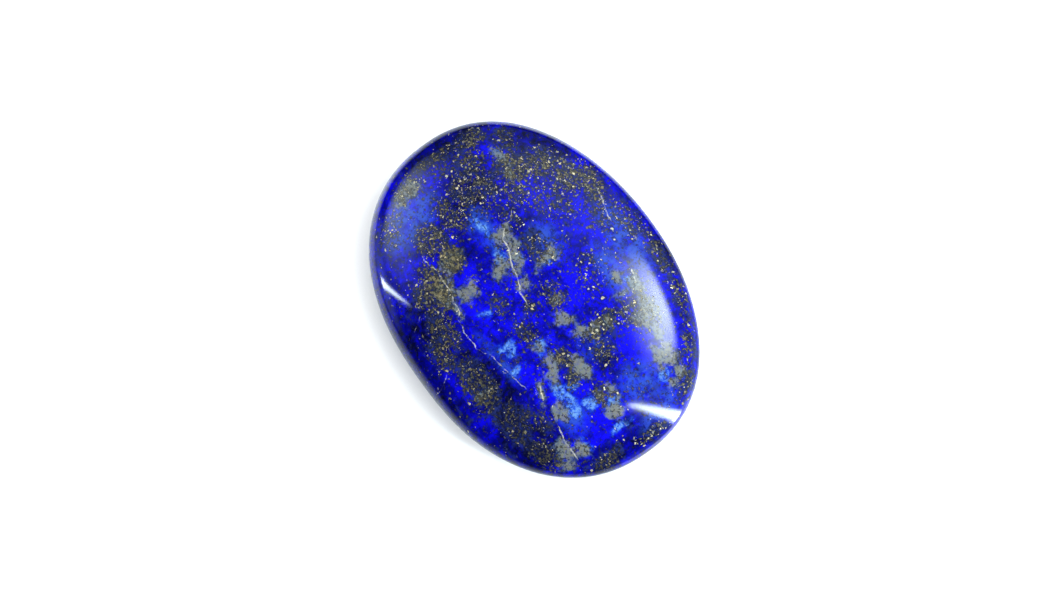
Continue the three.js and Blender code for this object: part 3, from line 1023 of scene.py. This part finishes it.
# Angles are in degrees, lengths in metres and radiances in watts per square metre and steradian.
Softbox = namedtuple("Softbox", "azimuth elevation distance width height radiance rise fall")
SOFTBOXES = {
    # The glow rises over the lowest share of its height and falls over the highest share.
    "right_softbox": Softbox(78.5, 62.2, 0.60, 0.28, 0.25, 20.0, rise=0.25, fall=0.75),
    "left_softbox": Softbox(-156, 37.5, 0.60, 0.68, 0.58, 3.0, rise=0.3, fall=0.7),
}
FACE_MIDDLE = 0.5
SOFTBOX_SIDE = 0.45  # share of a softbox's width over which each side fades in
Tube = namedtuple("Tube", "low_azimuth high_azimuth low high low_width middle_width high_width radiance")
TUBES = {
    # Each leans a little, so its azimuth changes from its low end to its high end.
    "right_tube": Tube(24.6, 18.4, -0.06, 1.10, 0.062, 0.054, 0.040, 34.0),
    "left_tube": Tube(-124.5, -118.2, 0.01, 0.33, 0.028, 0.020, 0.010, 28.0),
}
TUBE_DISTANCE = 0.35  # from the middle of the stone
TUBE_LOW, TUBE_MIDDLE, TUBE_HIGH = 0.05, 0.4, 0.95  # shares of its height where its widths hold
TUBE_SOFT_EDGE = 0.28  # share of its width
TUBE_FADE = 0.8  # share of its height from which it fades
Glow = namedtuple("Glow", "azimuth elevation spread strength")
GLOWS = (
    # Soft bright areas of the room that the polish reflects. Spread is the angle at which each ends.
    Glow(112, 47, 31, 0.5),
    Glow(56, -4, 38, 1.35),
    Glow(34, -6, 20, 1.9),
    Glow(4, -6, 24, 0.5),
    Glow(-128, 0, 24, 0.9),
)
Pool = namedtuple("Pool", "x y reach share")
POOLS = (
    # Pools of painted glow on the floor, which only reflections see: reach in millimetres, share of
    # FLOOR_GLOW.
    Pool(-58, -38, 42, 0.4),
    Pool(-46, -11, 20, 0.35),
    Pool(-27, -42, 18, 0.16),
    Pool(57, 20, 34, 1.4),
    Pool(62, -4, 30, 0.4),
    Pool(26, 44, 26, 0.33),
    Pool(-38, 35, 20, 0.4),
    Pool(-20, 37, 18, 0.35),
)

# The floor: white card, which reflections and the soft light on the stone see darker than it is
FLOOR_STEP = 3  # degrees between the corners of its rim
CARD_FIBRES = Noise(3.0, detail=4.0)
FIBRES_SEEN = Span(0.3, 0.7)
FIBRE_SHADE = 0.985
CARD_ROUGHNESS = 0.9
CARD_SHINE = 0.1
FLOOR_GLOW = 3.0
REFLECTED_FLOOR = (0.9, 0.96, 1.0)
REFLECTED_SHARE = 0.93
FLOOR_CENTRE = (-15.0, 18.0, 0.0)  # mm: the middle of the part that reflections see brightest
FLOOR_DIMMED = Span(28.0, 95.0, bottom=0.1, top=0.97)  # over this many millimetres from there
DIMMED_FOR_SOFT_LIGHT = 0.9

# The room, by the height and the side that a ray goes to
BACKDROP = 1.1
ROOM_DARK = 0.02
WALL_SIDES = Span(-0.46, -0.26)
WALL_FOOT = Span(0.0, 0.06)
WALL_TOP = Span(0.98, 0.9, bottom=0.25)
WALL_LIT = Span(-0.1, 0.22, bottom=0.18)
LAMP_SIDE = 75.0  # degrees: azimuth of the side that most of the soft light comes from
FILL_BY_HEIGHT = Span(0.15, 1.0, bottom=0.03, top=2.0)
FILL_BY_SIDE = Span(-0.9, 0.9, bottom=0.5, top=1.5)

SENSOR_WIDTH = 36.0
PICTURE_WIDTH, PICTURE_HEIGHT = 1050, 600  # pixels of the framed picture
GIRDLE_RIGHT, GIRDLE_DOWN = 533.3, 297.7  # pixels: where the girdle's middle shows in the picture


def direction(azimuth, elevation):
    """The unit vector towards an azimuth, anticlockwise from +X, and an elevation."""
    flat = math.cos(elevation)
    return Vector((flat * math.cos(azimuth), flat * math.sin(azimuth), math.sin(elevation)))


def add_light(name, place, upward, outward_way, width, height, radiance, colour):
    """A rectangular area light at place, and a Bench for the node tree that shapes its glow.

    Its height runs along upward, and it shines towards outward_way."""
    data = bpy.data.lights.new(name, "AREA")
    data.shape = "RECTANGLE"
    data.size, data.size_y = width, height
    data.energy = radiance * math.pi * width * height
    data.color = colour
    data.use_nodes = True
    light = bpy.data.objects.new(name, data)
    back = -outward_way.normalized()
    across = upward.cross(back).normalized()
    turn = Matrix((across, back.cross(across), back)).transposed().to_4x4()
    light.matrix_world = Matrix.Translation(place) @ turn
    light.visible_camera = False
    bpy.context.collection.objects.link(light)
    return Bench(data.node_tree)


def light_face(bench):
    """Where a point lies on the face of an area light: across and up, each from 0 to 1."""
    face = bench.node("ShaderNodeNewGeometry").outputs["Parametric"]
    parts = bench.node("ShaderNodeSeparateXYZ", {0: face}).outputs
    return parts["X"], parts["Y"]


def shape_glow(bench, glow):
    """Makes a light glow as strongly as the output glow says."""
    bench.wire(bench.tree.nodes["Emission"].inputs, {"Strength": glow})


def add_softbox(name, box, settings):
    """A softbox that faces the stone and fades towards all its edges."""
    middle = Vector((0, 0, NODE_SIZE.z / 2))
    way = direction(math.radians(box.azimuth), math.radians(box.elevation))
    radiance = box.radiance * settings.brightness
    place, upward = middle + way * box.distance, Vector((0, 0, 1))
    bench = add_light(name, place, upward, -way, box.width, box.height, radiance, settings.lamp_colour)
    across, up = light_face(bench)
    ends = bench.product(bench.step(up, 0.0, box.rise), bench.step(up, 1.0, 1 - box.fall))
    sides = bench.step(across, 0.0, SOFTBOX_SIDE), bench.step(across, 1.0, 1 - SOFTBOX_SIDE)
    shape_glow(bench, bench.product(ends, bench.product(*sides)))


def add_tube(name, tube, settings):
    """An upright strip of light that narrows towards its high end and fades there."""
    low = direction(math.radians(tube.low_azimuth), 0) * TUBE_DISTANCE + Vector((0, 0, tube.low))
    high = direction(math.radians(tube.high_azimuth), 0) * TUBE_DISTANCE + Vector((0, 0, tube.high))
    place, along = (low + high) / 2, high - low
    inward = -Vector((place.x, place.y, 0))
    widths = (tube.low_width, tube.middle_width, tube.high_width)
    radiance = tube.radiance * settings.brightness
    bench = add_light(name, place, along, inward, max(widths), along.length, radiance, settings.lamp_colour)
    across, up = light_face(bench)
    off_middle = bench.sum("ABSOLUTE", bench.sum("SUBTRACT", across, FACE_MIDDLE))
    low_half, middle_half, high_half = (width / max(widths) / 2 for width in widths)
    half_width = bench.step(up, TUBE_LOW, TUBE_MIDDLE, low_half, middle_half)
    narrowing = bench.step(up, TUBE_MIDDLE, TUBE_HIGH, 0.0, high_half - middle_half)
    half_width = bench.sum("ADD", half_width, narrowing)
    edge = bench.step(bench.sum("SUBTRACT", half_width, off_middle), 0.0, TUBE_SOFT_EDGE)
    ends = bench.product(bench.step(up, 0.0, TUBE_LOW), bench.step(up, 1.0, TUBE_FADE))
    shape_glow(bench, bench.product(edge, ends))


def add_lights(settings):
    """Two softboxes and two upright tubes, round a stone that lies in the middle."""
    for name, box in SOFTBOXES.items():
        add_softbox(name, box, settings)
    for name, tube in TUBES.items():
        add_tube(name, tube, settings)


def add_world(settings):
    """A white backdrop for the camera, soft light from above, and for reflections a dark room.

    The room has one pale wall and soft glows."""
    world = bpy.data.worlds.new("studio")
    bpy.context.scene.world = world
    world.use_nodes = True
    bench = Bench(world.node_tree)
    rays = bench.node("ShaderNodeLightPath").outputs
    way = bench.node("ShaderNodeTexCoord").outputs["Generated"]
    height = bench.node("ShaderNodeSeparateXYZ", {0: way}).outputs["Z"]
    level = bench.vector_sum("NORMALIZE", bench.vector_sum("MULTIPLY", way, (1.0, 1.0, 0.0)))

    def towards(seen, azimuth, elevation=0.0):
        """How nearly what is seen lies that way: 1 straight towards it, -1 straight away."""
        return bench.vector_sum("DOT_PRODUCT", seen, direction(azimuth, elevation), output="Value")

    sides = bench.step(towards(level, settings.wall_azimuth), *WALL_SIDES)
    to_lamp = towards(way, math.radians(LAMP_SIDE))
    wall = bench.product(
        sides, bench.step(height, *WALL_FOOT), bench.step(height, *WALL_TOP), bench.step(to_lamp, *WALL_LIT)
    )
    reflected = bench.plus(ROOM_DARK, (wall, settings.glow))
    for glow in GLOWS:
        seen = towards(way, math.radians(glow.azimuth), math.radians(glow.elevation))
        lobe = bench.step(seen, math.cos(math.radians(glow.spread)), 1.0)
        reflected = bench.plus(reflected, (lobe, glow.strength))
    soft_light = bench.product(
        bench.step(height, *FILL_BY_HEIGHT), settings.fill, bench.step(to_lamp, *FILL_BY_SIDE)
    )
    strength = bench.product(rays["Is Camera Ray"], BACKDROP)
    strength = bench.plus(strength, (rays["Is Glossy Ray"], reflected), (rays["Is Diffuse Ray"], soft_light))
    tint = bench.blend(rays["Is Glossy Ray"], WHITE, settings.room_colour)
    bench.wire(world.node_tree.nodes["Background"].inputs, {"Strength": strength, "Color": tint})


def floor_material(settings):
    """Matt white card, which is dimmer away from the stone in reflections, with painted pools of glow there.
    """
    material, bench, shader = new_material("white_card")
    place = bench.place()
    rays = bench.node("ShaderNodeLightPath").outputs
    card = Vector(settings.floor_colour)
    fibres = bench.step(bench.noise(place, CARD_FIBRES), *FIBRES_SEEN)
    shade = bench.blend(fibres, card, card * FIBRE_SHADE)
    unseen = bench.sum("SUBTRACT", 1.0, rays["Is Camera Ray"])
    shade = bench.blend(unseen, shade, Vector(REFLECTED_FLOOR) * REFLECTED_SHARE)
    off_centre = bench.vector_sum("DISTANCE", place, FLOOR_CENTRE, output="Value")
    dimmed = bench.product(bench.step(off_centre, *FLOOR_DIMMED), unseen)
    dimmed = bench.greatest(dimmed, bench.product(rays["Is Diffuse Ray"], DIMMED_FOR_SOFT_LIGHT))
    glow = 0.0
    for pool in POOLS:
        away = bench.vector_sum("DISTANCE", place, (pool.x, pool.y, 0.0), output="Value")
        glow = bench.plus(glow, (bench.step(away, pool.reach, 0.0), pool.share))
    glow = bench.product(glow, rays["Is Glossy Ray"])
    finish = {
        "Base Color": bench.blend(dimmed, shade, BLACK),
        "Emission Color": bench.blend(glow, BLACK, REFLECTED_FLOOR),
        "Emission Strength": FLOOR_GLOW,
        "Roughness": CARD_ROUGHNESS,
        "Specular IOR Level": CARD_SHINE,
    }
    bench.wire(shader, finish)
    return material


def add_floor(settings):
    """A round flat sheet of white card under the stone."""
    half = settings.floor_width / 2
    rim = [direction(math.radians(angle), 0) * half for angle in range(0, 360, FLOOR_STEP)]
    mesh = bpy.data.meshes.new("floor")
    mesh.from_pydata(rim, [], [range(len(rim))])
    mesh.materials.append(floor_material(settings))
    floor = bpy.data.objects.new("floor", mesh)
    bpy.context.collection.objects.link(floor)


def add_camera(settings, girdle_height):
    """The camera, looking down on the stone, moved aside so that the girdle's middle is where it shows."""
    azimuth, elevation = settings.camera_azimuth, settings.camera_elevation
    back = direction(azimuth - math.pi / 2, elevation)
    right = direction(azimuth, 0)
    up = back.cross(right)
    metres_per_pixel = settings.camera_distance * SENSOR_WIDTH / settings.lens / PICTURE_WIDTH
    off_right = (GIRDLE_RIGHT - PICTURE_WIDTH / 2) * metres_per_pixel
    off_down = (GIRDLE_DOWN - PICTURE_HEIGHT / 2) * metres_per_pixel
    data = bpy.data.cameras.new("camera")
    data.lens = settings.lens
    data.sensor_width = SENSOR_WIDTH
    camera = bpy.data.objects.new("camera", data)
    camera.rotation_mode = "QUATERNION"
    camera.rotation_quaternion = back.to_track_quat("Z", "Y")
    target = Vector((0, 0, girdle_height)) - right * off_right + up * off_down
    camera.location = target + back * settings.camera_distance
    bpy.context.collection.objects.link(camera)
    bpy.context.scene.camera = camera


# --------------------------------------------------------------------------------------------
# Operators and panel
# --------------------------------------------------------------------------------------------


class PALMSTONE_OT_stone(bpy.types.Operator):
    """Make the polished stone in place of its plain solid"""

    bl_idname = "palmstone.stone"
    bl_label = "Make Stone"

    def execute(self, context):
        settings = context.scene.palm_stone
        form = StoneForm(settings)
        mesh, points = stone_mesh(form, settings.unevenness / MILLIMETRE)
        mark_stone(mesh, points, form)
        mesh.materials.append(lapis_material(settings))
        stone = bpy.data.objects.new("lapis_palm_stone", mesh)
        context.collection.objects.link(stone)
        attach(stone, "root")
        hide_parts(NODE)
        return {"FINISHED"}


class PALMSTONE_OT_stage(bpy.types.Operator):
    """Make the floor, the lights and the camera"""

    bl_idname = "palmstone.stage"
    bl_label = "Make Stage"

    def execute(self, context):
        settings = context.scene.palm_stage
        add_camera(settings, context.scene.palm_stone.girdle_height)
        add_floor(settings)
        add_world(settings)
        add_lights(settings)
        context.scene.view_settings.view_transform = "Standard"
        return {"FINISHED"}


class PALMSTONE_PT_panel(bpy.types.Panel):
    """The stone's and the stage's settings, in the sidebar"""

    bl_label = "Palm Stone"
    bl_idname = "PALMSTONE_PT_panel"
    bl_space_type = "VIEW_3D"
    bl_region_type = "UI"
    bl_category = "Palm Stone"

    def draw(self, context):
        groups = (("palm_stone", PALMSTONE_OT_stone), ("palm_stage", PALMSTONE_OT_stage))
        for group, operator in groups:
            box = self.layout.box()
            settings = getattr(context.scene, group)
            for name in settings.__annotations__:
                box.prop(settings, name)
            box.operator(operator.bl_idname)


CLASSES = (PALMSTONE_PG_stone, PALMSTONE_PG_stage, PALMSTONE_OT_stone, PALMSTONE_OT_stage, PALMSTONE_PT_panel)


def register():
    for cls in CLASSES:
        bpy.utils.register_class(cls)
    bpy.types.Scene.palm_stone = PointerProperty(type=PALMSTONE_PG_stone)
    bpy.types.Scene.palm_stage = PointerProperty(type=PALMSTONE_PG_stage)


def unregister():
    del bpy.types.Scene.palm_stage
    del bpy.types.Scene.palm_stone
    for cls in reversed(CLASSES):
        bpy.utils.unregister_class(cls)


def main():
    register()
    bpy.ops.palmstone.stage()
    bpy.ops.palmstone.stone()


if __name__ == "__main__":
    main()
